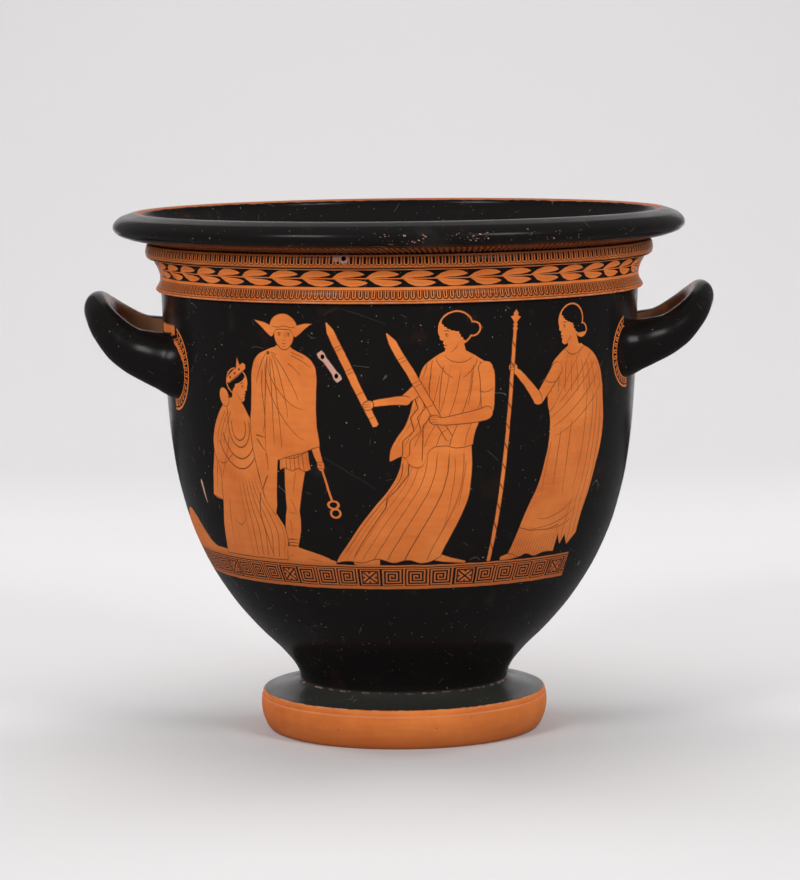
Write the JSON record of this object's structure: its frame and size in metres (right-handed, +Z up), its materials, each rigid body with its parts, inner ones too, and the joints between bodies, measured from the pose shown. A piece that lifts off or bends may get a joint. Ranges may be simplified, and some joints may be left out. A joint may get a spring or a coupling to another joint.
{
  "type": "bell krater",
  "caption": "Deep open clay vessel with an overhanging lip, a disc foot and upturned loop handles, black with orange painted figures and bands.",
  "frame": {"origin": "middle of the underside, on the plane the foot stands on", "axes": "+Z up along the vessel's axis, X across the two handles, -Y towards the picture on the front"},
  "size_m": [0.5028, 0.455, 0.416],
  "materials": {
    "fired_clay": "black gloss with reserved orange clay figures, bands and foot edge"
  },
  "bodies": {
    "root": {"krater": "fired_clay"}
  },
  "joints": []
}
